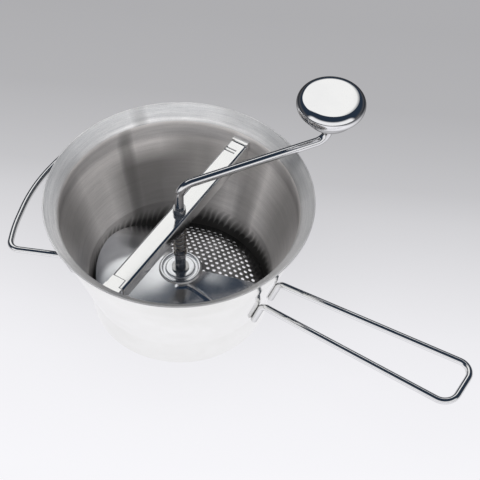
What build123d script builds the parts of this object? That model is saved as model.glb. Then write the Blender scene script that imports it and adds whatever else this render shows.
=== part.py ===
"""Hand-cranked stainless food mill: bowl, domed sieve, sprung blade, crossbar and crank.

Frame: origin on the bowl's axis at the plane it stands on, +Z up, +X along the long handle.
All sizes are in millimetres.
"""

import os
from math import cos, hypot, pi, radians, sin, sqrt

from build123d import *

# ---------------------------------------------------------------- driving dimensions
rim_radius = 120.0  # outer edge of the lip
bowl_height = 134.0
sheet = 1.0  # wall of the bowl and the sieve
lip_radius = 106.6  # inner edge of the sloping lip
lip_drop = 12.0
wall_foot_z = 103.0  # where the upright wall turns into the cone
cone_foot_radius = 85.5  # inner radius where the cone meets the skirt
cone_foot_z = 34.0
skirt_radius = 82.2  # inner radius of the skirt at its foot
base_ledge_radius = 74.0  # inner edge of the ledge that the sieve sits on

sieve_radius = 80.6
sieve_edge_z = 8.0
dome_rise = 26.0
dome_reference_radius = 78.8
sieve_bore = 4.6
hole_radius = 1.6
hole_pitch = 5.92
hole_grid_angle = 17.1
hole_field_inner = 21.0
hole_field_outer = 71.5

ferrule_flange_radius = 7.0
ferrule_rise = 0.9  # how far the ferrule stands above the dome
ferrule_foot_z = 28.0

rod_radius = 4.0
pilot_radius = 3.0
pilot_foot_z = 24.0
running_gap = 0.06

blade_radius = 79.0
blade_sheet = 1.2
blade_start_angle = 142.5  # edge that presses on the sieve
blade_sweep = 240.0
blade_flank_sweep = 44.0  # part of the sweep that climbs off the sieve
blade_inner_radius = 18.5
blade_inner_z = 35.2
blade_edge_z = 26.0
hub_disc_radius = 13.0
hub_disc_z = 36.6

tube_radius = 5.0
tube_flange_radius = 8.0
tube_flange_height = 1.5
tube_top_z = 60.0
pin_radius = 1.2
pin_z = 46.0

bar_width = 18.0
bar_depth = 14.0
bar_sheet = 1.5
bar_top_z = 116.0
bar_half_length = 99.0
bush_radius = 6.0
bush_flange_radius = 7.2
notch_edge_x = 4.6  # the notch runs from the bar's side to here
notch_depth = 9.0
tab_sheet = 1.5
tab_width = 12.0
tab_end = 104.4
tab_root = 78.0  # distance from the axis at which a tab starts under the bar
near_tab_x = -2.2
near_tab_flange = 3.0  # extra width where the near tab lies level with the bar
catch_front = 101.0  # distance of a catch's inner face from the axis
catch_width = 16.0
catch_height = 6.0

spring_wire_radius = 0.8
spring_mean_radius = 5.3
spring_turns = 9
washer_radius = 7.0
washer_sheet = 1.0
bush_rise = 0.2  # how far the bush stands above the bar
collar_radius = 5.75
collar_height = 5.0
lift_gap = 0.3  # play between faces that turn against each other

crank_angle = 56.5
crank_radius = 145.5
crank_arm_z = 149.0
crank_bend = 12.0

knob_base_z = 167.0
knob_seam_z = 186.0
knob_top_z = 201.0
knob_radius = 30.8
knob_sheet = 1.2
knob_bush_radius = 6.0
knob_bush_flange_radius = 9.0
knob_ring_height = 1.5
retainer_radius = 7.5
stem_collar_radius = 5.6

handle_wire = 3.0
handle_root_spread = 14.6
handle_end_spread = 23.4
handle_end_x = 287.0
handle_root_z = 63.0
handle_end_z = 69.0

handle_bends = [7.0, 13.0, 13.0, 7.0]

hook_wire = 2.8
hook_z = 90.0
hook_bow_x = 143.4
hook_bends = [8.0, 9.0, 150.0, 170.0, 170.0, 150.0, 9.0, 8.0]


# ---------------------------------------------------------------- shared geometry
def dome_z(radius):
    """Height of the sieve's upper face."""
    return sieve_edge_z + dome_rise * (1 - (radius / dome_reference_radius) ** 2)


def wall_radius(z):
    """Outer radius of the bowl's conical wall."""
    slope = (lip_radius - cone_foot_radius) / (wall_foot_z - cone_foot_z)
    return cone_foot_radius + slope * (z - cone_foot_z) + sheet


def on_wall(y, z, wire_radius):
    """Centre of a wire of this radius that lies on the outside of the conical wall."""
    slope = (lip_radius - cone_foot_radius) / (wall_foot_z - cone_foot_z)
    radius = wall_radius(z) + wire_radius * sqrt(1 + slope**2)
    return (sqrt(radius**2 - y**2), y, z)


def radial_plane(angle):
    """Upright plane through the bowl's axis: local x runs outwards, local y upwards."""
    turn = radians(angle)
    return Plane(origin=(0, 0, 0), x_dir=(cos(turn), sin(turn), 0), z_dir=(sin(turn), -cos(turn), 0))


def save(part, name):
    """Label a finished piece and write it as its own file."""
    part.label = name
    export_step(part, f"parts/{name}.step")


os.makedirs("parts", exist_ok=True)

# ---------------------------------------------------------------- bowl
bowl_outline = [
    (base_ledge_radius, 0),
    (skirt_radius + sheet, 0),
    (cone_foot_radius + sheet, cone_foot_z),
    (lip_radius + sheet, wall_foot_z),
    (lip_radius + sheet, bowl_height - lip_drop - sheet),
    (rim_radius - 0.6, bowl_height - sheet - 0.6),
]
with BuildPart() as bowl:
    with BuildSketch(Plane.XZ):
        with BuildLine():
            FilletPolyline(*bowl_outline, radius=2.5)
            offset(amount=sheet, side=Side.LEFT)
        make_face()
        with Locations((rim_radius - 1.1, bowl_height - 1.1)):
            Circle(1.1)
    revolve(axis=Axis.Z)
save(bowl.part, "bowl")

# ---------------------------------------------------------------- sieve disc
hole_points = []
rows = int(hole_field_outer / hole_pitch) + 2
for row in range(-rows, rows + 1):
    for column in range(-rows, rows + 1):
        x = hole_pitch * (column + row / 2)
        y = hole_pitch * row * sin(pi / 3)
        if hole_field_inner < hypot(x, y) < hole_field_outer:
            hole_points.append((x, y))

with BuildPart() as sieve_disc:
    with BuildSketch(Plane.XZ):
        with BuildLine():
            upper = ThreePointArc(
                (sieve_bore, dome_z(sieve_bore)),
                (dome_reference_radius / 2, dome_z(dome_reference_radius / 2)),
                (dome_reference_radius, sieve_edge_z),
            )
            Polyline(
                upper @ 1,
                (sieve_radius, sieve_edge_z - 1.4),
                (sieve_radius, sheet),
                (sieve_radius - sheet, sheet),
                (sieve_radius - sheet, sieve_edge_z - 1.9),
                (dome_reference_radius - 0.6, sieve_edge_z - sheet),
            )
            lower = ThreePointArc(
                (dome_reference_radius - 0.6, sieve_edge_z - sheet),
                (dome_reference_radius / 2, dome_z(dome_reference_radius / 2) - sheet),
                (sieve_bore, dome_z(sieve_bore) - sheet),
            )
            Line(lower @ 1, upper @ 0)
        make_face()
    revolve(axis=Axis.Z)
    with BuildSketch(Plane.XY.rotated((0, 0, hole_grid_angle))):
        with Locations(*hole_points):
            Circle(hole_radius)
    extrude(amount=bowl_height / 2, mode=Mode.SUBTRACT)
save(sieve_disc.part, "sieve_disc")

# ---------------------------------------------------------------- sieve ferrule
ferrule_top_z = dome_z(0) + ferrule_rise
with BuildPart() as sieve_ferrule:
    with BuildSketch(Plane.XZ):
        with BuildLine():
            Polyline(
                (pilot_radius + running_gap, ferrule_foot_z),
                (sieve_bore, ferrule_foot_z),
                (sieve_bore, dome_z(sieve_bore)),
                (ferrule_flange_radius, dome_z(sieve_bore)),
                (ferrule_flange_radius - 0.6, ferrule_top_z),
                (pilot_radius + running_gap, ferrule_top_z),
                close=True,
            )
        make_face()
    revolve(axis=Axis.Z)
save(sieve_ferrule.part, "sieve_ferrule")

# ---------------------------------------------------------------- handle
leg_foot_z = 36.0
handle_side = [
    on_wall(handle_root_spread, leg_foot_z, handle_wire),
    on_wall(handle_root_spread, handle_root_z, handle_wire),
    (handle_end_x, handle_end_spread, handle_end_z),
]
handle_path = handle_side + [(x, -y, z) for x, y, z in reversed(handle_side)]
with BuildPart() as handle_loop:
    with BuildLine() as handle_centre:
        FilletPolyline(*handle_path, radius=handle_bends)
    with BuildSketch(Plane(origin=handle_centre.line @ 0, z_dir=handle_centre.line % 0)):
        Circle(handle_wire)
    sweep(transition=Transition.ROUND)
save(handle_loop.part, "handle_loop")

# ---------------------------------------------------------------- rest hook
hook_side = [
    tuple(-v if i == 0 else v for i, v in enumerate(on_wall(74.5, 66.0, hook_wire))),
    tuple(-v if i == 0 else v for i, v in enumerate(on_wall(80.0, hook_z, hook_wire))),
    (-116.0, 99.9, hook_z),
    (-127.4, 77.5, hook_z),
    (-hook_bow_x, 30.0, hook_z),
]
hook_path = hook_side + [(x, -y, z) for x, y, z in reversed(hook_side)]
with BuildPart() as rest_hook:
    with BuildLine() as hook_centre:
        FilletPolyline(*hook_path, radius=hook_bends)
    with BuildSketch(Plane(origin=hook_centre.line @ 0, z_dir=hook_centre.line % 0)):
        Circle(hook_wire)
    sweep(transition=Transition.ROUND)
save(rest_hook.part, "rest_hook")

# ---------------------------------------------------------------- crossbar
seam = 0.4  # visible gap round the tab that fills the notch
web_foot_z = bar_top_z - bar_sheet
with BuildPart() as crossbar:
    with BuildSketch(Plane.XZ.offset(-bar_half_length)):
        with BuildLine():
            FilletPolyline(
                (-bar_width / 2, bar_top_z - bar_depth),
                (-bar_width / 2, bar_top_z),
                (bar_width / 2, bar_top_z),
                (bar_width / 2, bar_top_z - bar_depth),
                radius=1.9,
            )
            offset(amount=bar_sheet, side=Side.RIGHT)
        make_face()
    extrude(amount=2 * bar_half_length)
    with Locations((0, 0, bar_top_z)):
        Hole(bush_radius)
    with BuildSketch(Plane.XY.offset(web_foot_z)):
        with Locations((notch_edge_x - bar_width / 2, -bar_half_length + notch_depth / 2)):
            Rectangle(bar_width, notch_depth)
        with Locations((-2.0, bar_half_length - 9.0), (-2.0, bar_half_length - 12.5)):
            SlotOverall(11.0, 1.2)
    extrude(amount=bar_sheet, mode=Mode.SUBTRACT)
save(crossbar.part, "crossbar")

# ---------------------------------------------------------------- end tabs
with BuildPart() as near_tab:
    with BuildSketch(Plane.XY.offset(web_foot_z)):
        with Locations((near_tab_x, -(tab_end + bar_half_length - notch_depth + seam) / 2)):
            Rectangle(2 * notch_edge_x + near_tab_flange, tab_end - bar_half_length + notch_depth - seam)
    extrude(amount=tab_sheet)
    with BuildSketch(Plane.XY.offset(web_foot_z - tab_sheet)):
        with Locations((near_tab_x, -(bar_half_length + tab_root) / 2)):
            Rectangle(2 * notch_edge_x, bar_half_length - tab_root)
    extrude(amount=tab_sheet)
save(near_tab.part, "near_tab")

with BuildPart() as far_tab:
    with BuildSketch(Plane.XY.offset(web_foot_z - tab_sheet)):
        with Locations((0, (tab_end + tab_root) / 2)):
            Rectangle(tab_width, tab_end - tab_root)
    extrude(amount=tab_sheet)
save(far_tab.part, "far_tab")


# ---------------------------------------------------------------- catches on the bowl's wall
def catch(side, tab_foot_z, tab_centre_x, slot_width):
    """Block on the wall at side * Y, with a slot that the tab's tip sits in."""
    foot_z = tab_foot_z + tab_sheet / 2 - catch_height / 2
    with BuildPart() as block:
        with BuildSketch(Plane.XY.offset(foot_z)):
            with Locations((0, side * (catch_front + rim_radius) / 2)):
                Rectangle(catch_width, rim_radius - catch_front)
            Circle(lip_radius, mode=Mode.INTERSECT)
        extrude(amount=catch_height)
        with BuildSketch(Plane.XY.offset(tab_foot_z - 0.15)):
            with Locations((tab_centre_x, side * (catch_front + 2.0))):
                Rectangle(slot_width, 4.0)
        extrude(amount=tab_sheet + 0.3, mode=Mode.SUBTRACT)
    return block.part


save(catch(1, web_foot_z - tab_sheet, 0.0, tab_width + 0.6), "far_catch")
save(catch(-1, web_foot_z, near_tab_x, 2 * notch_edge_x + near_tab_flange + 0.6), "near_catch")

# ---------------------------------------------------------------- bearing bush and thrust washer
bush_foot_z = web_foot_z - 1.5
with BuildPart() as bearing_bush:
    with Locations((0, 0, bush_foot_z)):
        Cylinder(bush_flange_radius, web_foot_z - bush_foot_z, align=(Align.CENTER, Align.CENTER, Align.MIN))
        Cylinder(bush_radius, bar_top_z + bush_rise - bush_foot_z, align=(Align.CENTER, Align.CENTER, Align.MIN))
    with Locations((0, 0, bar_top_z + bush_rise)):
        Hole(rod_radius + running_gap)
save(bearing_bush.part, "bearing_bush")


def washer(foot_z, outer, inner, height, name):
    """Flat ring on the main axis."""
    with BuildPart() as ring:
        with BuildSketch(Plane.XY.offset(foot_z)):
            Circle(outer)
            Circle(inner, mode=Mode.SUBTRACT)
        extrude(amount=height)
    save(ring.part, name)


thrust_washer_z = bush_foot_z - washer_sheet
spring_seat_z = tube_top_z + lift_gap
washer(thrust_washer_z, washer_radius, rod_radius + 0.3, washer_sheet, "thrust_washer")
washer(spring_seat_z, washer_radius, rod_radius + running_gap, washer_sheet, "spring_seat")
washer(bar_top_z + bush_rise + lift_gap, collar_radius, rod_radius, collar_height, "shaft_collar")

# ---------------------------------------------------------------- pressure spring
spring_foot_z = spring_seat_z + washer_sheet + spring_wire_radius
spring_height = thrust_washer_z - spring_wire_radius - spring_foot_z
with BuildPart() as pressure_spring:
    with BuildLine() as coil:
        Helix(spring_height / spring_turns, spring_height, spring_mean_radius, center=(0, 0, spring_foot_z))
    with BuildSketch(Plane(origin=coil.line @ 0, z_dir=coil.line % 0)):
        Circle(spring_wire_radius)
    sweep(is_frenet=True)
save(pressure_spring.part, "pressure_spring")

# ---------------------------------------------------------------- crank rod
knob_x = crank_radius * cos(radians(crank_angle))
knob_y = crank_radius * sin(radians(crank_angle))
rod_foot_z = hub_disc_z - 0.2
rod_top_z = knob_seam_z + 6.0
with BuildPart() as crank_rod:
    with BuildLine():
        FilletPolyline(
            (0, 0, rod_foot_z),
            (0, 0, crank_arm_z),
            (knob_x, knob_y, crank_arm_z),
            (knob_x, knob_y, rod_top_z),
            radius=crank_bend,
        )
    with BuildSketch(Plane.XY.offset(rod_foot_z)):
        Circle(rod_radius)
    sweep()
    with Locations((0, 0, pilot_foot_z)):
        Cylinder(pilot_radius, rod_foot_z - pilot_foot_z, align=(Align.CENTER, Align.CENTER, Align.MIN))
    with Locations(Location((0, 0, pin_z), (90, 0, 0))):
        Cylinder(pin_radius, 4 * rod_radius, mode=Mode.SUBTRACT)
save(crank_rod.part, "crank_rod")

# ---------------------------------------------------------------- blade hub and drive pin
with BuildPart() as blade_hub:
    with Locations((0, 0, hub_disc_z + blade_sheet)):
        Cylinder(tube_flange_radius, tube_flange_height, align=(Align.CENTER, Align.CENTER, Align.MIN))
    with Locations((0, 0, rod_foot_z)):
        Cylinder(tube_radius, tube_top_z - rod_foot_z, align=(Align.CENTER, Align.CENTER, Align.MIN))
        Cylinder(
            rod_radius,
            tube_top_z - rod_foot_z,
            align=(Align.CENTER, Align.CENTER, Align.MIN),
            mode=Mode.SUBTRACT,
        )
    with Locations(Location((0, 0, pin_z), (90, 0, 0))):
        Cylinder(pin_radius, 4 * rod_radius, mode=Mode.SUBTRACT)
save(blade_hub.part, "blade_hub")

with BuildPart() as drive_pin:
    with Locations(Location((0, 0, pin_z), (90, 0, 0))):
        Cylinder(pin_radius, 2 * tube_radius + 2.4)
    fillet(drive_pin.edges(), radius=0.5)
save(drive_pin.part, "drive_pin")


# ---------------------------------------------------------------- blade
def blade_slice(turned):
    """Radial slice of the sheet: turned runs from 0 at the pressing edge to 1 on the raised part."""
    climb = sin(turned * pi / 2)
    middle_radius = (blade_inner_radius + blade_radius) / 2
    pressed_middle_z = dome_z(middle_radius) + 1.4
    raised_middle_z = (blade_inner_z + blade_edge_z) / 2 + 1.0
    pressed_edge_z = dome_z(blade_radius) + 0.9
    middle_z = pressed_middle_z + climb * (raised_middle_z - pressed_middle_z)
    edge_z = pressed_edge_z + climb * (blade_edge_z - pressed_edge_z)
    inner = (blade_inner_radius, blade_inner_z)
    middle = (middle_radius, middle_z)
    edge = (blade_radius, edge_z)
    with BuildSketch(radial_plane(blade_start_angle + turned * blade_flank_sweep)) as slice_of_sheet:
        with BuildLine():
            lower = ThreePointArc(inner, middle, edge)
            upper = ThreePointArc(*((radius, z + blade_sheet) for radius, z in (inner, middle, edge)))
            Line(lower @ 0, upper @ 0)
            Line(lower @ 1, upper @ 1)
        make_face()
    return slice_of_sheet.sketch


dish_outline = [
    (tube_radius, hub_disc_z),
    (hub_disc_radius, hub_disc_z),
    (hub_disc_radius + 0.8, hub_disc_z - 1.8),
    (hub_disc_radius + 3.4, hub_disc_z - 1.8),
    (hub_disc_radius + 4.2, hub_disc_z + 0.2),
    (blade_inner_radius, hub_disc_z + 0.2),
    (blade_inner_radius + 1.6, blade_inner_z - 0.3),
]
flank_steps = 5
with BuildPart() as blade:
    loft([blade_slice(step / (flank_steps - 1)) for step in range(flank_steps)])
    revolve(blade_slice(1), axis=Axis.Z, revolution_arc=blade_sweep - blade_flank_sweep)
    with BuildSketch(Plane.XZ):
        with BuildLine():
            raised = [(radius, z + blade_sheet) for radius, z in reversed(dish_outline)]
            Polyline(*dish_outline, *raised, close=True)
        make_face()
    revolve(axis=Axis.Z)
save(blade.part, "blade")


# ---------------------------------------------------------------- knob
def turned_piece(outline, name):
    """Piece turned about the knob's own axis; outline is (radius, height) points and arcs."""
    knob_plane = Plane(origin=(knob_x, knob_y, 0), x_dir=(1, 0, 0), z_dir=(0, -1, 0))
    with BuildPart() as piece:
        with BuildSketch(knob_plane):
            with BuildLine():
                outline()
            make_face()
        revolve(axis=Axis((knob_x, knob_y, 0), (0, 0, 1)))
    save(piece.part, name)


def base_outline():
    """Lower shell: a shallow bowl round the stem."""
    seam_radius = knob_radius - 3.4
    outer = ThreePointArc((knob_bush_radius, knob_base_z), (21.0, knob_base_z + 9.0), (seam_radius, knob_seam_z))
    inner = ThreePointArc(
        (knob_bush_radius, knob_base_z + knob_sheet + 0.2),
        (20.0, knob_base_z + 10.2),
        (seam_radius - knob_sheet, knob_seam_z),
    )
    Line(outer @ 0, inner @ 0)
    Line(outer @ 1, inner @ 1)


def cap_outline():
    """Upper shell: a thick round rim and a nearly flat top."""
    seam_radius = knob_radius - 2.9
    rim_z = knob_seam_z + 6.5
    shoulder = (knob_radius - 5.2, knob_top_z - 0.3)
    outer = ThreePointArc((seam_radius, knob_seam_z), (knob_radius, rim_z), shoulder)
    inner = ThreePointArc(
        (seam_radius - knob_sheet, knob_seam_z),
        (knob_radius - knob_sheet, rim_z),
        (knob_radius - 6.4, knob_top_z - 0.3 - knob_sheet),
    )
    Polyline(outer @ 1, (0, knob_top_z), (0, knob_top_z - knob_sheet), inner @ 1)
    Line(outer @ 0, inner @ 0)


def ring_outline(foot_z, top_z, inner, outer):
    """Plain ring of rectangular section."""
    Polyline((inner, foot_z), (outer, foot_z), (outer, top_z), (inner, top_z), close=True)


def bush_outline():
    """Bearing tube with a flange at its top."""
    bore = rod_radius + running_gap
    Polyline(
        (bore, knob_base_z),
        (knob_bush_radius, knob_base_z),
        (knob_bush_radius, knob_seam_z - knob_ring_height),
        (knob_bush_flange_radius, knob_seam_z - knob_ring_height),
        (knob_bush_flange_radius, knob_seam_z),
        (bore, knob_seam_z),
        close=True,
    )


turned_piece(base_outline, "knob_base")
turned_piece(cap_outline, "knob_cap")
turned_piece(bush_outline, "knob_bush")
retainer_z = knob_seam_z + lift_gap
stem_collar_top_z = knob_base_z - lift_gap
turned_piece(
    lambda: ring_outline(retainer_z, retainer_z + knob_ring_height, rod_radius, retainer_radius), "knob_retainer"
)
turned_piece(
    lambda: ring_outline(stem_collar_top_z - knob_ring_height, stem_collar_top_z, rod_radius, stem_collar_radius),
    "stem_collar",
)
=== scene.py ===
import math

import bmesh
import bpy
from mathutils import Matrix, Vector, geometry


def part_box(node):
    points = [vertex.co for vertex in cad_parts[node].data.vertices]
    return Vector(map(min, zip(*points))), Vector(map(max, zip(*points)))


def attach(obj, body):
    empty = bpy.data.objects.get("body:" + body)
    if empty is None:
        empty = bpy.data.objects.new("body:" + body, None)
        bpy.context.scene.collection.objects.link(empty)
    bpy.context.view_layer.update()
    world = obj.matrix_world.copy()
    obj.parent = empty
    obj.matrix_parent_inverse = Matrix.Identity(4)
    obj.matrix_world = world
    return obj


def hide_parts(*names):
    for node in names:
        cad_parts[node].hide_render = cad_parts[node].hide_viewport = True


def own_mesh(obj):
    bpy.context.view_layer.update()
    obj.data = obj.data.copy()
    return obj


# A hand-cranked stainless food mill, in metres: bowl axis on Z, handle along +X.
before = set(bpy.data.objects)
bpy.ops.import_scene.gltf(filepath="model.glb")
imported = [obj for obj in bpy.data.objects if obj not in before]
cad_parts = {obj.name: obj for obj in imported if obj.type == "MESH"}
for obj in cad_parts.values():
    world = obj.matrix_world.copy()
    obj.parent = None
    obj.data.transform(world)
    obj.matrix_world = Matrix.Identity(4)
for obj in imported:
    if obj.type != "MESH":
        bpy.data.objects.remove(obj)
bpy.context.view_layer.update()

MM = 0.001

# ---------------------------------------------------------------- sizes that the looks share with the frame
bowl_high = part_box("bowl")[1]
sieve_low, sieve_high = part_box("sieve_disc")
bar_low, bar_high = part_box("crossbar")
handle_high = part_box("handle_loop")[1]
hook_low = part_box("rest_hook")[0]
rod_low, rod_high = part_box("crank_rod")
cap_low, cap_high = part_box("knob_cap")
base_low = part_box("knob_base")[0]
seat_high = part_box("spring_seat")[1]
washer_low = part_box("thrust_washer")[0]

RIM_RADIUS = bowl_high.x
BOWL_HEIGHT = bowl_high.z
SHEET = 1.0 * MM
LIP_RADIUS = 106.6 * MM
LIP_DROP = 12.0 * MM
WALL_FOOT_Z = 103.0 * MM
CONE_FOOT_RADIUS = 85.5 * MM
CONE_FOOT_Z = 34.0 * MM
SKIRT_RADIUS = 82.2 * MM
LEDGE_RADIUS = 74.0 * MM
BEAD_RADIUS = 0.78 * MM
BEAD_STEPS = 20

SIEVE_RADIUS = sieve_high.x
SIEVE_EDGE_Z = 8.0 * MM
DOME_RISE = 26.0 * MM
DOME_RADIUS = 78.8 * MM
SIEVE_BORE = 4.6 * MM
HOLE_RADIUS = 1.6 * MM
HOLE_PITCH = 5.92 * MM
HOLE_GRID_ANGLE = math.radians(17.1)
HOLE_FIELD = (21.0 * MM, 71.5 * MM)
SIEVE_MARGIN_RADIUS = 74.6 * MM
PLATE_RADIUS = 76.6 * MM

BLADE_RADIUS = 79.0 * MM
BLADE_SHEET = 1.2 * MM
BLADE_START = math.radians(142.5)
BLADE_SWEEP = math.radians(240.0)
BLADE_FLANK = math.radians(44.0)
BLADE_INNER_RADIUS = 18.5 * MM
BLADE_INNER_Z = 35.2 * MM
BLADE_EDGE_Z = 26.0 * MM
WING_LIFT = 6.2 * MM
WING_LIFT_BEARING = math.radians(195)
WING_LIFT_SPREAD = math.radians(36)
WING_LIFT_MIDDLE = 0.45
WING_CROWN = 1.0 * MM
MIDDLE_GAP = 1.4 * MM
EDGE_GAP = 0.9 * MM
# The rib's line, in degrees of bearing from the main view: a hook round the hub, then a run to the edge.
RIB_HOOK_RADIUS = 22.4 * MM
RIB_HOOK_BEARINGS = range(268, 292, 4)
RIB_RUN = ((27.0 * MM, 297.0), (40.0 * MM, 307.0), (56.0 * MM, 311.0), (78.0 * MM, 313.0))
RIB_HEIGHT = 0.9 * MM
RIB_WIDTH = 1.7 * MM
HUB_DISC_RADIUS = 13.0 * MM
HUB_DISC_Z = 36.6 * MM
HUB_GROOVE = 1.8 * MM
HUB_RING = 0.2 * MM
HUB_BEND = 0.6 * MM
TUBE_RADIUS = 5.0 * MM

ROD_RADIUS = 4.0 * MM
PILOT_RADIUS = 3.0 * MM
CRANK_ANGLE = math.radians(56.5)
CRANK_RADIUS = 145.5 * MM
CRANK_ARM_Z = 149.0 * MM
CRANK_BEND = 12.0 * MM

BAR_SHEET = 1.5 * MM
BAR_CORNER = 2.4 * MM
NOTCH_EDGE_X = 4.6 * MM
NOTCH_DEPTH = 9.0 * MM
FAR_SLOT_X = (-7.5 * MM, 3.5 * MM)
FAR_SLOT_INSETS = (9.0 * MM, 12.5 * MM)
FAR_SLOT_HALF = 0.8 * MM

HANDLE_WIRE = 3.0 * MM
HOOK_WIRE = 2.8 * MM
SPRING_WIRE = 0.8 * MM
SPRING_RADIUS = 5.3 * MM
SPRING_TURNS = 9
SPRING_CLOSED_ENDS = 0.06

KNOB_SHEET = 1.2 * MM
KNOB_STEPS = 160

# ---------------------------------------------------------------- tones that the steel is painted with
# Soft upright shadows, each as (bearing in degrees, half width in degrees, depth, height of its top).
WALL_LOBES = (
    (141.0, 17.0, 0.85, 90 * MM),
    (152.0, 3.0, 0.60, 125 * MM),
    (204.0, 13.0, 0.55, 118 * MM),
    (46.0, 15.0, 0.62, 118 * MM),
    (114.0, 12.0, 0.62, 106 * MM),
    (80.0, 5.0, 0.45, 112 * MM),
    (-2.0, 8.0, 0.3, 100 * MM),
)
# Painted shadows on the lip, in the same columns as the wall's.
LIP_LOBES = (
    (192.0, 9.0, 0.30, 134 * MM),
    (50.0, 10.0, 0.45, 134 * MM),
    (143.0, 3.0, 0.50, 134 * MM),
    (98.0, 4.0, 0.15, 134 * MM),
    (300.0, 36.0, 0.62, 150 * MM),
    (28.0, 36.0, 0.34, 150 * MM),
    (80.0, 18.0, 0.18, 150 * MM),
)
# Painted reflection of the sieve: a dark fringe round the wall just above it, broken into fingers.
FOOT_FINGERS = 84
FOOT_LEAN = 5.0

# ---------------------------------------------------------------- view, floor and surroundings
VIEW_AZIMUTH = math.radians(30.5)
VIEW_ELEVATION = math.radians(50.2)
VIEW_ROLL = math.radians(1.8)
VIEW_DISTANCE = 1.230
VIEW_SHIFT_RIGHT = 0.0535
VIEW_SHIFT_UP = -0.0369
# Painted light across the floor, and the painted reflection on the card, each as (distance away from the
# camera, tone).
FLOOR_TONES = (
    (-0.20, 0.95), (-0.08, 0.90), (-0.03, 0.86), (0.02, 0.79), (0.066, 0.72), (0.115, 0.64), (0.155, 0.55),
    (0.21, 0.49), (0.27, 0.435), (0.40, 0.405),
)
FLOOR_HALF = 6.0
FLOOR_SLANT = 0.08
FLOOR_GLOW = 0.92
FLOOR_BASE = 0.036
CARD_TONES = (
    (-0.9, 0.4), (-0.6, 0.93), (-0.10, 0.97), (0.02, 0.86),
    (0.12, 0.66), (0.22, 0.40), (0.34, 0.16), (0.6, 0.05),
)
WORLD_SIDES = (0.08, 0.08, 0.085)
WORLD_OVERHEAD = (0.022, 0.034, 0.055)
WORLD_NEAR = (0.95, 0.95, 0.96)
WORLD_FAR_BOX = (1.0, 1.0, 0.99)
LAMP_POWER = 115.0


# ---------------------------------------------------------------- mesh helpers
SHEET_END_TURNS = (0.52, 1.05, 1.57, 2.09, 2.62)
TUBE_END_TURNS = (1.57, 1.1, 0.7, 0.35)
TUBE_END_ROUND = 0.35


def new_piece(name, mesh_data, body, slot, *replaced):
    """Adds a mesh as a piece that rides on a body and stands for CAD nodes."""
    piece = bpy.data.objects.new(name, mesh_data)
    bpy.context.scene.collection.objects.link(piece)
    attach(piece, body)
    if replaced:
        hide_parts(*replaced)
    return piece


def mesh_of(name, points, faces, smooth_below=35.0, bands=None):
    """Mesh from points and faces, smooth except across sharp edges."""
    data = bpy.data.meshes.new(name)
    data.from_pydata([tuple(p) for p in points], [], faces)
    if bands:
        data.polygons.foreach_set("material_index", bands)
    shape = bmesh.new()
    shape.from_mesh(data)
    bmesh.ops.remove_doubles(shape, verts=shape.verts, dist=1e-7)
    bmesh.ops.recalc_face_normals(shape, faces=shape.faces)
    limit = math.radians(smooth_below)
    for face in shape.faces:
        face.smooth = True
    for edge in shape.edges:
        edge.smooth = len(edge.link_faces) == 2 and edge.calc_face_angle(0.0) < limit
    shape.to_mesh(data)
    shape.free()
    return data


def rounded(corners, radii, steps=12):
    """Path through the corners, each inner one turned into an arc of its radius."""
    corners = [Vector(c) for c in corners]
    path = [corners[0]]
    for before, corner, after, radius in zip(corners, corners[1:], corners[2:], radii):
        to_before = (before - corner).normalized()
        to_after = (after - corner).normalized()
        half = to_before.angle(to_after) / 2
        centre = corner + (to_before + to_after).normalized() * (radius / math.sin(half))
        start = corner + to_before * (radius / math.tan(half)) - centre
        end = corner + to_after * (radius / math.tan(half)) - centre
        axis = start.cross(end).normalized()
        for step in range(steps + 1):
            turn = Matrix.Rotation((math.pi - 2 * half) * step / steps, 3, axis)
            path.append(centre + turn @ start)
    path.append(corners[-1])
    return path


def lathe(name, outline, steps=256, centre=(0.0, 0.0), bands=None):
    """Closed outline of (radius, height) points turned about an upright axis."""
    points = []
    for step in range(steps):
        turn = 2 * math.pi * step / steps
        for radius, height in outline:
            x = centre[0] + radius * math.cos(turn)
            y = centre[1] + radius * math.sin(turn)
            points.append((x, y, height))
    count = len(outline)
    faces = []
    face_bands = []
    for step in range(steps):
        this = step * count
        following = (step + 1) % steps * count
        for i in range(count):
            j = (i + 1) % count
            faces.append((this + i, this + j, following + j, following + i))
            face_bands.append(bands[i] if bands else 0)
    return mesh_of(name, points, faces, bands=face_bands if bands else None)


def sheet_outline(line, thickness):
    """Closed outline round an open line of (radius, height) points, with rounded ends.

    Returns the outline and, for each of its points, whether it lies on the line's left side.
    """
    line = [Vector((p[0], p[1])) for p in line]
    normals = []
    for i in range(len(line)):
        along = (line[min(i + 1, len(line) - 1)] - line[max(i - 1, 0)]).normalized()
        normals.append(Vector((-along.y, along.x)))
    left = [p + n * thickness / 2 for p, n in zip(line, normals)]
    right = [p - n * thickness / 2 for p, n in zip(line, normals)]
    ends = []
    for at, normal, sign in ((line[-1], normals[-1], 1), (line[0], normals[0], -1)):
        along = Vector((normal.y, -normal.x)) * sign
        side = normal * sign
        half = thickness / 2
        ends.append([at + (side * math.cos(a) + along * math.sin(a)) * half for a in SHEET_END_TURNS])
    outline = left + ends[0] + right[::-1] + ends[1]
    on_left = [True] * (len(left) - 1) + [False] * (len(outline) - len(left) + 1)
    return outline, on_left


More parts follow.
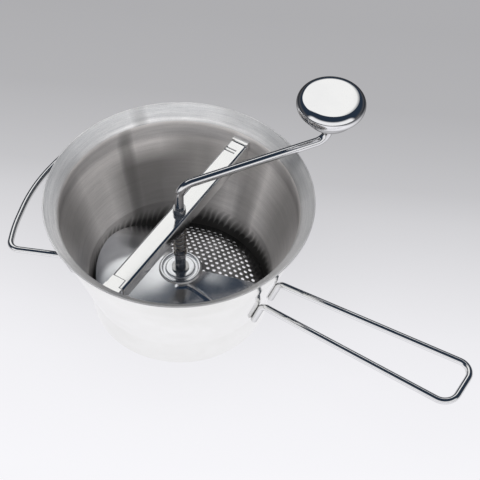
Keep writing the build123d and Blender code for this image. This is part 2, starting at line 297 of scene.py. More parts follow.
def tube(name, path, radius, sides=40):
    """Round rod along a path, with slightly rounded ends."""
    path = [Vector(p) for p in path]
    tangents = []
    for before, after in zip(path[:1] + path[:-1], path[1:] + path[-1:]):
        tangents.append((after - before).normalized())
    side = tangents[0].orthogonal().normalized()
    rings = []
    for at, along in zip(path, tangents):
        side = (side - along * side.dot(along)).normalized()
        rings.append((at, side, along.cross(side), radius))
    soft = radius * TUBE_END_ROUND

    def end_rings(ring, inward):
        """Rings from the rod's end inward, growing to its full radius."""
        at, side, across, _ = ring
        grown = []
        for turn in TUBE_END_TURNS:
            inset = at + inward * soft * (1 - math.sin(turn))
            grown.append((inset, side, across, radius - soft * (1 - math.cos(turn))))
        return grown + [(at + inward * soft, side, across, radius)]

    foot = end_rings(rings[0], tangents[0])
    head = end_rings(rings[-1], -tangents[-1])
    rings = foot + rings[1:-1] + head[::-1]
    points = []
    for at, side, across, ring_radius in rings:
        for s in range(sides):
            a = 2 * math.pi * s / sides
            points.append(at + (side * math.cos(a) + across * math.sin(a)) * ring_radius)
    faces = []
    for i in range(len(rings) - 1):
        for s in range(sides):
            t = (s + 1) % sides
            faces.append((i * sides + s, i * sides + t, (i + 1) * sides + t, (i + 1) * sides + s))
    faces.append(tuple(range(sides - 1, -1, -1)))
    faces.append(tuple(range((len(rings) - 1) * sides, len(rings) * sides)))
    return mesh_of(name, points, faces, smooth_below=50.0)


def bevelled(piece, width, segments=3):
    """Rounds a piece's sharp edges."""
    modifier = piece.modifiers.new("soft edges", "BEVEL")
    modifier.width = width
    modifier.segments = segments
    modifier.limit_method = "ANGLE"
    modifier.angle_limit = math.radians(40)
    modifier.harden_normals = True


def dome_z(radius):
    """Height of the sieve's upper face."""
    return SIEVE_EDGE_Z + DOME_RISE * (1 - (radius / DOME_RADIUS) ** 2)


# ---------------------------------------------------------------- materials
class Graph:
    """A node tree, with short calls for the nodes that this scene uses."""

    def __init__(self, tree):
        self.tree = tree

    def wire(self, value, socket):
        if isinstance(value, bpy.types.NodeSocket):
            self.tree.links.new(value, socket)
        else:
            socket.default_value = value

    def math(self, operation, *values):
        node = self.tree.nodes.new("ShaderNodeMath")
        node.operation = operation
        for socket, value in zip(node.inputs, values):
            self.wire(value, socket)
        return node.outputs[0]

    def turned(self, first, second, operation):
        """Adds or subtracts first and second, weighed by the main view's cosine and sine."""
        along = self.math("MULTIPLY", first, math.cos(VIEW_AZIMUTH))
        across = self.math("MULTIPLY", second, math.sin(VIEW_AZIMUTH))
        return self.math(operation, along, across)

    def split(self, vector):
        node = self.tree.nodes.new("ShaderNodeSeparateXYZ")
        self.wire(vector, node.inputs[0])
        return node.outputs

    def join(self, x, y, z):
        node = self.tree.nodes.new("ShaderNodeCombineXYZ")
        for socket, value in zip(node.inputs, (x, y, z)):
            self.wire(value, socket)
        return node.outputs[0]

    def scaled(self, vector, sizes):
        node = self.tree.nodes.new("ShaderNodeVectorMath")
        node.operation = "MULTIPLY"
        self.wire(vector, node.inputs[0])
        node.inputs[1].default_value = sizes
        return node.outputs[0]

    def noise(self, vector, scale, detail=3.0, rough=0.55, w=None):
        node = self.tree.nodes.new("ShaderNodeTexNoise")
        node.noise_dimensions = "4D" if w is not None else "3D"
        self.wire(vector, node.inputs["Vector"])
        if w is not None:
            self.wire(w, node.inputs["W"])
        node.inputs["Scale"].default_value = scale
        node.inputs["Detail"].default_value = detail
        node.inputs["Roughness"].default_value = rough
        return node.outputs[0]

    def ramp(self, value, low, high, out_low, out_high):
        node = self.tree.nodes.new("ShaderNodeMapRange")
        node.clamp = True
        for socket, setting in zip(node.inputs, (value, low, high, out_low, out_high)):
            self.wire(setting, socket)
        return node.outputs[0]

    def blend(self, amount, first, second):
        node = self.tree.nodes.new("ShaderNodeMix")
        node.data_type = "RGBA"
        self.wire(amount, node.inputs[0])
        self.wire(first if isinstance(first, bpy.types.NodeSocket) else (*first, 1.0), node.inputs[6])
        self.wire(second if isinstance(second, bpy.types.NodeSocket) else (*second, 1.0), node.inputs[7])
        return node.outputs[2]


class Finish(Graph):
    """A material's node tree, with its shader and the place of each point in the piece."""

    def __init__(self, name):
        self.material = bpy.data.materials.new(name)
        self.material.use_nodes = True
        super().__init__(self.material.node_tree)
        self.shader = self.tree.nodes["Principled BSDF"]
        self.place = self.tree.nodes.new("ShaderNodeTexCoord").outputs["Object"]

    def bump(self, height, strength, distance):
        node = self.tree.nodes.new("ShaderNodeBump")
        node.inputs["Strength"].default_value = strength
        node.inputs["Distance"].default_value = distance
        self.wire(height, node.inputs["Height"])
        self.wire(node.outputs[0], self.shader.inputs["Normal"])

    def steel(self, colour, roughness, anisotropy=0.0, round_axis=False, metallic=1.0):
        """Wires the shader up as a metal and gives the material."""
        self.wire(colour, self.shader.inputs["Base Color"])
        self.wire(roughness, self.shader.inputs["Roughness"])
        self.shader.inputs["Metallic"].default_value = metallic
        self.shader.inputs["Anisotropic"].default_value = anisotropy
        if round_axis:
            tangent = self.tree.nodes.new("ShaderNodeTangent")
            tangent.direction_type = "RADIAL"
            tangent.axis = "Z"
            self.wire(tangent.outputs[0], self.shader.inputs["Tangent"])
        return self.material


def ring_brushed(
    name, light, dark, roughness, spread, lines, bump, anisotropy, metallic=0.7, lobes=(), foot=False
):
    """Steel brushed round the Z axis: fine rings, soft blotches and faint smears.

    lines is the number of rings in a metre. lobes paints soft upright shadows on a wall.
    foot paints the sieve's reflection on the wall just above it: dark, in fingers.
    """
    g = Finish(name)
    x, y, z = g.split(g.place)
    length = g.tree.nodes.new("ShaderNodeVectorMath")
    length.operation = "LENGTH"
    g.wire(g.join(x, y, 0.0), length.inputs[0])
    radius = length.outputs["Value"]
    cosine = g.math("DIVIDE", x, radius)
    sine = g.math("DIVIDE", y, radius)

    def ring_noise(pitch, wraps, detail, rough):
        place = g.join(
            g.math("MULTIPLY", radius, pitch),
            g.math("MULTIPLY", z, pitch),
            g.math("MULTIPLY", cosine, wraps),
        )
        return g.noise(place, 1.0, detail, rough, w=g.math("MULTIPLY", sine, wraps))

    fine = ring_noise(lines, 5.0, 4.0, 0.75)
    wide = ring_noise(lines * 0.16, 2.0, 3.0, 0.6)
    grain = g.noise(g.place, 1100.0, 2.0, 0.6)
    blotch = g.noise(g.place, 26.0, 3.0, 0.5)
    tone = g.math("ADD", g.math("MULTIPLY", fine, 0.40), g.math("MULTIPLY", wide, 0.28))
    tone = g.math("ADD", tone, g.math("MULTIPLY", blotch, 0.17))
    tone = g.math("ADD", tone, g.math("MULTIPLY", grain, 0.15))
    colour = g.blend(g.ramp(tone, 0.36, 0.64, 0.0, 1.0), dark, light)
    # Painted shadows: each lobe darkens the steel's colour in a soft upright patch.
    for bearing, half_width, depth, top in lobes:
        turn = math.radians(bearing)
        along_x = g.math("MULTIPLY", cosine, math.cos(turn))
        along_y = g.math("MULTIPLY", sine, math.sin(turn))
        facing = g.math("ADD", along_x, along_y)
        wobble = g.math("MULTIPLY", g.math("SUBTRACT", g.noise(g.place, 16.0, 2.0, 0.5), 0.5), 0.05)
        facing = g.math("ADD", facing, g.math("MULTIPLY", wobble, math.radians(half_width) * 2))
        edges = [math.cos(math.radians(half_width * share)) for share in (1.6, 0.35)]
        inside = g.ramp(facing, edges[0], edges[1], 0.0, depth)
        inside = g.math("MULTIPLY", inside, g.ramp(z, top - 12 * MM, top + 10 * MM, 1.0, 0.0))
        colour = g.blend(inside, colour, tuple(v * 0.22 for v in dark))
    rough = g.ramp(tone, 0.3, 0.7, roughness + spread, roughness - spread)
    # Painted reflection of the sieve: the wall just above it goes near black, with gaps where the holes
    # would shine.
    if foot:
        lean = g.math("MULTIPLY", z, FOOT_LEAN)
        turn = g.math("MULTIPLY", g.math("ADD", g.math("ARCTAN2", y, x), lean), FOOT_FINGERS / 2)
        sway = g.math("MULTIPLY", g.noise(g.place, 38.0, 1.0, 0.5), 4.0)
        finger = g.math("POWER", g.math("ABSOLUTE", g.math("SINE", g.math("ADD", turn, sway))), 0.5)
        uneven = g.ramp(g.noise(g.place, 45.0, 2.0, 0.5), 0.3, 0.7, 6.0 * MM, 12.0 * MM)
        reach = g.math("MULTIPLY", finger, uneven)
        above = g.math("SUBTRACT", g.math("SUBTRACT", z, reach), 11 * MM)
        colour = g.blend(g.ramp(above, -5.0 * MM, 9.5 * MM, 0.95, 0.0), colour, (0.035, 0.034, 0.034))
    g.bump(g.math("ADD", fine, g.math("MULTIPLY", grain, 0.5)), 0.4, bump)
    return g.steel(colour, rough, anisotropy, True, metallic)


def polished(name, light, dark, roughness, spread, edge=1.0):
    """Polished steel: near-mirror, with faint haze, fine scratches and handling smears.

    edge below 1 darkens what the steel mirrors at a grazing angle.
    """
    g = Finish(name)
    haze_field = g.noise(g.place, 14.0, 4.0, 0.55)
    smear = g.noise(g.scaled(g.place, (38.0, 61.0, 47.0)), 1.0, 2.0, 0.5)
    hair_a = g.noise(g.scaled(g.place, (90.0, 1500.0, 900.0)), 1.0, 1.0, 0.4)
    hair_b = g.noise(g.scaled(g.place, (1400.0, 120.0, 1000.0)), 1.0, 1.0, 0.4)
    scratch = g.math("MAXIMUM", g.ramp(hair_a, 0.66, 0.74, 0.0, 1.0), g.ramp(hair_b, 0.68, 0.76, 0.0, 1.0))
    tone = g.math("ADD", g.math("MULTIPLY", haze_field, 0.6), g.math("MULTIPLY", smear, 0.4))
    colour = g.blend(g.ramp(tone, 0.35, 0.65, 0.0, 1.0), dark, light)
    base = g.ramp(tone, 0.35, 0.65, roughness, roughness + spread)
    rough = g.math("ADD", base, g.math("MULTIPLY", scratch, spread * 0.8))
    g.bump(haze_field, 0.2, 0.0002)
    g.shader.inputs["Specular Tint"].default_value = (edge, edge, edge, 1)
    return g.steel(colour, rough)


def drawn_wire(name, light, dark, roughness, spread, along):
    """Drawn or turned steel: tiny scratches along one direction, a little dulling in patches."""
    g = Finish(name)
    grain = g.noise(g.scaled(g.place, along), 1.0, 3.0, 0.6)
    patch = g.noise(g.place, 30.0, 3.0, 0.5)
    tone = g.math("ADD", g.math("MULTIPLY", grain, 0.5), g.math("MULTIPLY", patch, 0.5))
    colour = g.blend(g.ramp(tone, 0.35, 0.65, 0.0, 1.0), dark, light)
    rough = g.ramp(tone, 0.35, 0.65, roughness, roughness + spread)
    g.bump(grain, 0.2, 0.00002)
    return g.steel(colour, rough)


bowl_inside = ring_brushed(
    "bowl_inside", (0.96, 0.925, 0.905), (0.66, 0.635, 0.62), 0.38, 0.06,
    lines=1900.0, bump=0.00004, anisotropy=0.7, metallic=0.58, lobes=WALL_LOBES, foot=True,
)
lip_brushed = ring_brushed(
    "lip_brushed", (0.93, 0.92, 0.91), (0.50, 0.50, 0.51), 0.34, 0.06,
    lines=1500.0, bump=0.00010, anisotropy=0.6, metallic=0.55, lobes=LIP_LOBES,
)
sieve_steel = ring_brushed(
    "sieve_steel", (0.50, 0.50, 0.495), (0.34, 0.34, 0.34), 0.22, 0.05,
    lines=1300.0, bump=0.00003, anisotropy=0.4, metallic=1.0,
)
bowl_outside = polished("bowl_outside", (0.89, 0.89, 0.872), (0.83, 0.83, 0.805), 0.10, 0.05)
blade_steel = polished("blade_steel", (0.86, 0.87, 0.89), (0.76, 0.775, 0.80), 0.12, 0.08)
bar_steel = polished("bar_steel", (0.90, 0.90, 0.895), (0.84, 0.84, 0.84), 0.09, 0.05)
wire_steel = polished("wire_steel", (0.86, 0.86, 0.86), (0.78, 0.78, 0.79), 0.08, 0.05, edge=0.6)
rod_steel = polished("rod_steel", (0.84, 0.84, 0.85), (0.76, 0.76, 0.77), 0.09, 0.05, edge=0.45)
knob_steel = polished("knob_steel", (0.90, 0.90, 0.90), (0.85, 0.85, 0.86), 0.04, 0.03, edge=0.5)
spring_steel = drawn_wire(
    "spring_steel", (0.46, 0.42, 0.38), (0.26, 0.24, 0.22), 0.22, 0.12, along=(500.0, 500.0, 1500.0)
)
turned_steel = drawn_wire(
    "turned_steel", (0.62, 0.62, 0.62), (0.46, 0.46, 0.46), 0.2, 0.1, along=(160.0, 160.0, 2400.0)
)


def dress(node, material):
    """Puts a material on a CAD node that stays visible."""
    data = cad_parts[node].data
    data.materials.clear()
    data.materials.append(material)


for node in ("near_tab", "far_tab", "near_catch", "far_catch"):
    dress(node, bar_steel)
for node in (
    "sieve_ferrule", "bearing_bush", "thrust_washer", "spring_seat", "shaft_collar",
    "stem_collar", "knob_retainer", "knob_bush", "blade_hub", "drive_pin",
):
    dress(node, turned_steel)


# ---------------------------------------------------------------- bowl
def bowl_line():
    """Middle of the bowl's sheet, from the ledge out, up the wall and over the lip."""
    half = SHEET / 2
    corners = [
        (LEDGE_RADIUS, 0, half),
        (SKIRT_RADIUS + half, 0, half),
        (CONE_FOOT_RADIUS + half, 0, CONE_FOOT_Z),
        (LIP_RADIUS + half, 0, WALL_FOOT_Z),
        (LIP_RADIUS + half, 0, BOWL_HEIGHT - LIP_DROP - half),
        (RIM_RADIUS - 1.0 * MM, 0, BOWL_HEIGHT - 1.0 * MM),
    ]
    path = rounded(corners, (2.0 * MM, 10.0 * MM, 22.0 * MM, 12.0 * MM), steps=12)
    return [(p.x, p.z) for p in path]


outline, on_left = sheet_outline(bowl_line(), SHEET)
lip_foot = BOWL_HEIGHT - LIP_DROP - 1.2 * MM
bands = []
for (_, height), left in zip(outline, on_left):
    bands.append(1 if not left else (2 if height > lip_foot else 0))
bowl = new_piece("bowl_shell", lathe("bowl_shell", outline, 320, bands=bands), "bowl", "bowl_steel", "bowl")
for material in (bowl_inside, bowl_outside, lip_brushed):
    bowl.data.materials.append(material)

bead_line = []
for step in range(BEAD_STEPS):
    turn = 2 * math.pi * step / BEAD_STEPS
    bead_x = RIM_RADIUS - BEAD_RADIUS + BEAD_RADIUS * math.cos(turn)
    bead_z = BOWL_HEIGHT - BEAD_RADIUS + BEAD_RADIUS * math.sin(turn)
    bead_line.append((bead_x, bead_z))
rim_bead = new_piece("rim_bead", lathe("rim_bead", bead_line, 320), "bowl", "bowl_steel")
rim_bead.data.materials.append(lip_brushed)


# ---------------------------------------------------------------- sieve
def hole_centres():
    """Centres of the holes: a triangular grid about the axis."""
    centres = []
    turn = Matrix.Rotation(HOLE_GRID_ANGLE, 2)
    rows = int(HOLE_FIELD[1] / HOLE_PITCH) + 2
    for row in range(-rows, rows + 1):
        for column in range(-rows, rows + 1):
            at = Vector((HOLE_PITCH * (column + row / 2), HOLE_PITCH * row * math.sin(math.pi / 3)))
            if HOLE_FIELD[0] < at.length < HOLE_FIELD[1]:
                centres.append(turn @ at)
    return centres


def circle(centre, radius, count):
    """Evenly spaced points on a circle."""
    points = []
    for step in range(count):
        turn = 2 * math.pi * step / count
        points.append(Vector((centre[0] + radius * math.cos(turn), centre[1] + radius * math.sin(turn))))
    return points


def sieve_mesh():
    """Domed plate with punched holes, a rounded shoulder and a turned-down rim."""
    centres = hole_centres()
    sides = 20
    margin = 0.2 * MM
    flat = []
    edges = []
    for centre in centres:
        first = len(flat)
        flat += circle(centre, HOLE_RADIUS + margin, sides)
        edges += [(first + i, first + (i + 1) % sides) for i in range(sides)]
    around = 240
    for radius in (SIEVE_BORE, 9.0 * MM, 14.0 * MM, 18.0 * MM):
        flat += circle((0, 0), radius, 48)
    flat += circle((0, 0), SIEVE_MARGIN_RADIUS, around)
    first = len(flat)
    flat += circle((0, 0), PLATE_RADIUS, around)
    edges += [(first + i, first + (i + 1) % around) for i in range(around)]
    spots, _, triangles, *_ = geometry.delaunay_2d_cdt(flat, edges, [], 0, 1e-7)
    grid = {}
    cell = HOLE_PITCH
    for centre in centres:
        grid.setdefault((int(centre.x // cell), int(centre.y // cell)), []).append(centre)

    def in_hole(at):
        if at.length < SIEVE_BORE * 0.98:
            return True
        column, row = int(at.x // cell), int(at.y // cell)
        for i in (-1, 0, 1):
            for j in (-1, 0, 1):
                for centre in grid.get((column + i, row + j), ()):
                    if (at - centre).length < HOLE_RADIUS:
                        return True
        return False

    points = [(p.x, p.y, dome_z(p.length)) for p in spots]
    top = []
    for triangle in triangles:
        middle = sum((spots[i] for i in triangle), Vector((0, 0))) / len(triangle)
        if not in_hole(middle):
            top.append(tuple(triangle))
    faces = list(top)
    under = len(points)
    points += [(x, y, z - SHEET) for x, y, z in points]
    faces += [tuple(under + i for i in reversed(face)) for face in top]
    for centre in centres:
        loops = []
        for radius, drop in (
            (HOLE_RADIUS + margin, 0.0),
            (HOLE_RADIUS + 0.04 * MM, 0.06 * MM),
            (HOLE_RADIUS, 0.18 * MM),
            (HOLE_RADIUS, 0.35 * MM),
            (HOLE_RADIUS + margin, SHEET),
        ):
            start = len(points)
            for p in circle(centre, radius, sides):
                points.append((p.x, p.y, dome_z(p.length) - drop))
            loops.append(start)
        for upper, lower in zip(loops, loops[1:]):
            for i in range(sides):
                j = (i + 1) % sides
                faces.append((upper + i, upper + j, lower + j, lower + i))
    shoulder = rounded(
        [
            (PLATE_RADIUS, 0, dome_z(PLATE_RADIUS)),
            (DOME_RADIUS + 0.3 * MM, 0, SIEVE_EDGE_Z + 0.25 * MM),
            (SIEVE_RADIUS, 0, SIEVE_EDGE_Z - 2.2 * MM),
            (SIEVE_RADIUS, 0, sieve_low.z),
        ],
        (1.0 * MM, 2.2 * MM),
        steps=6,
    )
    rim = [(p.x, p.z) for p in shoulder]
    inner = [(r - SHEET * 0.95, z - SHEET * 0.4) for r, z in reversed(rim[1:-1])]
    rim_foot = (SIEVE_RADIUS - SHEET, sieve_low.z)
    under_plate = (PLATE_RADIUS, dome_z(PLATE_RADIUS) - SHEET)
    closed = rim + [rim_foot] + inner + [under_plate]
    start = len(points)
    for step in range(around):
        turn = 2 * math.pi * step / around
        for r, z in closed:
            points.append((r * math.cos(turn), r * math.sin(turn), z))
    count = len(closed)
    for step in range(around):
        this = start + step * count
        following = start + (step + 1) % around * count
        for i in range(count - 1):
            faces.append((this + i, this + i + 1, following + i + 1, following + i))
    bore = 48
    start = len(points)
    for z_drop in (0.0, SHEET):
        for p in circle((0, 0), SIEVE_BORE, bore):
            points.append((p.x, p.y, dome_z(SIEVE_BORE) - z_drop))
    for i in range(bore):
        j = (i + 1) % bore
        faces.append((start + i, start + j, start + bore + j, start + bore + i))
    return mesh_of("sieve", points, faces, smooth_below=40.0)


sieve = new_piece("sieve_plate", sieve_mesh(), "bowl", "sieve_steel", "sieve_disc")
sieve.data.materials.append(sieve_steel)


# ---------------------------------------------------------------- crossbar
def bar_section(low_x, high_x, steps=8):
    """Outer line of the channel's section from low_x round to high_x, with soft upper corners."""
    top = bar_high.z
    foot = bar_low.z
    corners = [(low_x, 0, foot), (low_x, 0, top), (high_x, 0, top), (high_x, 0, foot)]
    return rounded(corners, (BAR_CORNER, BAR_CORNER), steps)


def bar_channel():
    """Pressed channel with soft upper corners; the cut for the near tab is taken out of it afterwards."""
    length = bar_high.y - bar_low.y
    outer = bar_section(bar_low.x, bar_high.x)
    inner = [
        Vector((
            p.x - math.copysign(BAR_SHEET, p.x) if abs(p.x) > bar_high.x - BAR_CORNER - 0.1 * MM else p.x,
            0,
            p.z - BAR_SHEET if p.z > bar_high.z - BAR_CORNER - 0.1 * MM else p.z,
        ))
        for p in outer
    ]
    section = outer + inner[::-1]
    rows = 60
    points = []
    faces = []
    for row in range(rows + 1):
        y = bar_low.y + length * row / rows
        for p in section:
            points.append((p.x, y, p.z))
    count = len(section)
    for row in range(rows):
        for i in range(count):
            j = (i + 1) % count
            faces.append((row * count + i, row * count + j, (row + 1) * count + j, (row + 1) * count + i))
    faces.append(tuple(range(count)))
    faces.append(tuple(reversed(range(rows * count, (rows + 1) * count))))
    return mesh_of("bar_channel", points, faces)


def cut_boxes(data, boxes):
    """Takes boxes, each given by two opposite corners, out of a mesh."""
    target = bpy.data.objects.new("cut_target", data)
    bpy.context.scene.collection.objects.link(target)
    blocks = []
    for low, high in boxes:
        block_data = bpy.data.meshes.new("cut_block")
        xs, ys, zs = zip(low, high)
        block_data.from_pydata(
            [(x, y, z) for x in xs for y in ys for z in zs],
            [],
            [(0, 1, 3, 2), (4, 6, 7, 5), (0, 4, 5, 1), (2, 3, 7, 6), (0, 2, 6, 4), (1, 5, 7, 3)],
        )
        block = bpy.data.objects.new("cut_block", block_data)
        bpy.context.scene.collection.objects.link(block)
        modifier = target.modifiers.new("cut", "BOOLEAN")
        modifier.object = block
        modifier.operation = "DIFFERENCE"
        modifier.solver = "EXACT"
        blocks.append(block)
    graph = bpy.context.evaluated_depsgraph_get()
    result = bpy.data.meshes.new_from_object(target.evaluated_get(graph))
    for spare in [target] + blocks:
        bpy.data.objects.remove(spare)
    return result


under_web = bar_high.z - 2.4 * MM
over_web = bar_high.z + 1.0 * MM
notch = (
    (bar_low.x - 1 * MM, bar_low.y - 1 * MM, under_web),
    (NOTCH_EDGE_X + 0.4 * MM, bar_low.y + NOTCH_DEPTH + 0.3 * MM, over_web),
)
far_slots = []
for inset in FAR_SLOT_INSETS:
    slot_y = bar_high.y - inset
    low = (FAR_SLOT_X[0], slot_y - FAR_SLOT_HALF, under_web)
    high = (FAR_SLOT_X[1], slot_y + FAR_SLOT_HALF, over_web)
    far_slots.append((low, high))
bar_mesh = cut_boxes(bar_channel(), [notch] + far_slots)
bar = new_piece("bar_channel", bar_mesh, "bowl", "bar_steel", "crossbar")
bar.data.materials.append(bar_steel)
bevelled(bar, 0.3 * MM, 2)

# ---------------------------------------------------------------- wires fixed to the wall
def on_wall(y, z, wire):
    """Centre of a wire that lies on the outside of the conical wall."""
    slope = (LIP_RADIUS - CONE_FOOT_RADIUS) / (WALL_FOOT_Z - CONE_FOOT_Z)
    radius = CONE_FOOT_RADIUS + slope * (z - CONE_FOOT_Z) + SHEET + wire * math.sqrt(1 + slope**2)
    return Vector((math.sqrt(radius**2 - y**2), y, z))


def mirrored(side):
    """A half path carried on to its mirror image across the XZ plane."""
    return side + [Vector((p.x, -p.y, p.z)) for p in reversed(side)]


handle_side = [
    on_wall(14.6 * MM, 36.0 * MM, HANDLE_WIRE),
    on_wall(14.6 * MM, 63.0 * MM, HANDLE_WIRE),
    Vector((handle_high.x - HANDLE_WIRE, 23.4 * MM, 69.0 * MM)),
]
handle_path = rounded(mirrored(handle_side), (7.0 * MM, 13.0 * MM, 13.0 * MM, 7.0 * MM))
handle_mesh = tube("handle_wire", handle_path, HANDLE_WIRE)
handle = new_piece("handle_wire", handle_mesh, "bowl", "wire_steel", "handle_loop")
handle.data.materials.append(wire_steel)

hook_side = []
for y, z in ((74.5, 66.0), (80.0, 90.0)):
    foot = on_wall(y * MM, z * MM, HOOK_WIRE)
    hook_side.append(Vector((-foot.x, foot.y, foot.z)))
bow_x = hook_low.x + HOOK_WIRE
hook_z = 90.0 * MM
hook_side += [
    Vector((bow_x + 27.4 * MM, 99.9 * MM, hook_z)),
    Vector((bow_x + 16.0 * MM, 77.5 * MM, hook_z)),
    Vector((bow_x, 30.0 * MM, hook_z)),
]
hook_radii = (8.0, 9.0, 150.0, 170.0, 170.0, 150.0, 9.0, 8.0)
hook_path = rounded(mirrored(hook_side), [r * MM for r in hook_radii])
hook_mesh = tube("hook_wire", hook_path, HOOK_WIRE)
hook = new_piece("hook_wire", hook_mesh, "bowl", "wire_steel", "rest_hook")
hook.data.materials.append(wire_steel)

# ---------------------------------------------------------------- crank rod
knob_axis = Vector((CRANK_RADIUS * math.cos(CRANK_ANGLE), CRANK_RADIUS * math.sin(CRANK_ANGLE), 0))
rod_foot_z = HUB_DISC_Z - 0.2 * MM
crank_corners = [
    (0, 0, rod_foot_z),
    (0, 0, CRANK_ARM_Z),
    (knob_axis.x, knob_axis.y, CRANK_ARM_Z),
    (knob_axis.x, knob_axis.y, rod_high.z),
]
crank_path = rounded(crank_corners, (CRANK_BEND, CRANK_BEND), steps=24)
crank_mesh = tube("crank_rod_bent", crank_path, ROD_RADIUS, 48)
crank = new_piece("crank_rod_bent", crank_mesh, "crank", "rod_steel", "crank_rod")
crank.data.materials.append(rod_steel)
pilot_path = [(0, 0, rod_low.z), (0, 0, rod_foot_z + 1.0 * MM)]
pilot = new_piece("shaft_pilot", tube("shaft_pilot", pilot_path, PILOT_RADIUS, 32), "crank", "rod_steel")
pilot.data.materials.append(turned_steel)

# ---------------------------------------------------------------- pressure spring
spring_foot = seat_high.z + SPRING_WIRE
spring_height = washer_low.z - SPRING_WIRE - spring_foot
coil = []
coil_steps = SPRING_TURNS * 40
for step in range(coil_steps + 1):
    along = step / coil_steps
    eased = along - SPRING_CLOSED_ENDS / (2 * math.pi) * math.sin(2 * math.pi * along)
    turn = 2 * math.pi * SPRING_TURNS * along
    coil_z = spring_foot + spring_height * eased
    coil.append((SPRING_RADIUS * math.cos(turn), SPRING_RADIUS * math.sin(turn), coil_z))
spring_mesh = tube("spring_coil", coil, SPRING_WIRE, 16)
spring = new_piece("spring_coil", spring_mesh, "bowl", "spring_steel", "pressure_spring")
spring.data.materials.append(spring_steel)
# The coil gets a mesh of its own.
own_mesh(spring)


# ---------------------------------------------------------------- blade
def blade_height(radius, turned, bearing):
    """Underside of the sheet: turned runs from 0 at the pressing edge to 1 on the raised part."""
    lift = WING_LIFT * math.exp(-(((bearing - WING_LIFT_BEARING) / WING_LIFT_SPREAD) ** 2))
    climb = math.sin(min(turned, 1.0) * math.pi / 2)
    middle = (BLADE_INNER_RADIUS + BLADE_RADIUS) / 2
    pressed_middle = dome_z(middle) + MIDDLE_GAP
    raised_middle = (BLADE_INNER_Z + BLADE_EDGE_Z) / 2 + WING_CROWN
    pressed_edge = dome_z(BLADE_RADIUS) + EDGE_GAP
    middle_z = pressed_middle + climb * (raised_middle - pressed_middle + WING_LIFT_MIDDLE * lift)
    edge_z = pressed_edge + climb * (BLADE_EDGE_Z - pressed_edge + lift)
    across = (radius - BLADE_INNER_RADIUS) / (BLADE_RADIUS - BLADE_INNER_RADIUS)
    return (
        BLADE_INNER_Z * (1 - across) * (1 - 2 * across)
        + middle_z * 4 * across * (1 - across)
        + edge_z * across * (2 * across - 1)
    )


def near_line(at, line):
    """Distance from a flat point to an open line."""
    best = 1.0
    for start, end in zip(line, line[1:]):
        along = end - start
        share = max(0.0, min(1.0, (at - start).dot(along) / along.length_squared))
        best = min(best, (at - start - along * share).length)
    return best


def blade_mesh():
    """Large helical wing, with a pressed rib that leaves the hub and runs to the edge."""
    rib = []
    for degrees in RIB_HOOK_BEARINGS:
        a = math.radians(degrees) + VIEW_AZIMUTH
        rib.append(Vector((RIB_HOOK_RADIUS * math.cos(a), RIB_HOOK_RADIUS * math.sin(a))))
    for radius, degrees in RIB_RUN:
        a = math.radians(degrees) + VIEW_AZIMUTH
        rib.append(Vector((radius * math.cos(a), radius * math.sin(a))))
    rows, columns = 60, 300
    upper = []
    lower = []
    for column in range(columns + 1):
        swept = BLADE_SWEEP * column / columns
        angle = BLADE_START + swept
        for row in range(rows + 1):
            radius = BLADE_INNER_RADIUS + (BLADE_RADIUS - BLADE_INNER_RADIUS) * row / rows
            at = Vector((radius * math.cos(angle), radius * math.sin(angle)))
            z = blade_height(radius, swept / BLADE_FLANK, angle)
            z += RIB_HEIGHT * math.exp(-((near_line(at, rib) / RIB_WIDTH) ** 2))
            lower.append((at.x, at.y, z))
            upper.append((at.x, at.y, z + BLADE_SHEET))
    points = upper + lower
    offset = len(upper)
    stride = rows + 1
    faces = []
    for column in range(columns):
        for row in range(rows):
            a = column * stride + row
            b = a + stride
            faces.append((a, a + 1, b + 1, b))
            faces.append((offset + a, offset + b, offset + b + 1, offset + a + 1))
        for row in (0, rows):
            a = column * stride + row
            b = a + stride
            faces.append((a, b, offset + b, offset + a))
    for column in (0, columns):
        for row in range(rows):
            a = column * stride + row
            faces.append((a, a + 1, offset + a + 1, offset + a))
    return mesh_of("blade_wing", points, faces)


wing = new_piece("blade_wing", blade_mesh(), "crank", "blade_steel", "blade")
wing.data.materials.append(blade_steel)
bevelled(wing, 0.35 * MM)

half_sheet = BLADE_SHEET / 2
dish_corners = [
    (TUBE_RADIUS, 0, HUB_DISC_Z + half_sheet),
    (HUB_DISC_RADIUS, 0, HUB_DISC_Z + half_sheet),
    (HUB_DISC_RADIUS + 0.8 * MM, 0, HUB_DISC_Z - HUB_GROOVE + half_sheet),
    (HUB_DISC_RADIUS + 3.4 * MM, 0, HUB_DISC_Z - HUB_GROOVE + half_sheet),
    (HUB_DISC_RADIUS + 4.2 * MM, 0, HUB_DISC_Z + HUB_RING + half_sheet),
    (BLADE_INNER_RADIUS, 0, HUB_DISC_Z + HUB_RING + half_sheet),
    (BLADE_INNER_RADIUS + 1.6 * MM, 0, BLADE_INNER_Z - 0.3 * MM + half_sheet),
]
dish_path = rounded(dish_corners, [HUB_BEND] * (len(dish_corners) - 2), steps=5)
dish_outline, _ = sheet_outline([(p.x, p.z) for p in dish_path], BLADE_SHEET)
dish = new_piece("blade_dish", lathe("blade_dish", dish_outline, 128), "crank", "blade_steel")
dish.data.materials.append(blade_steel)


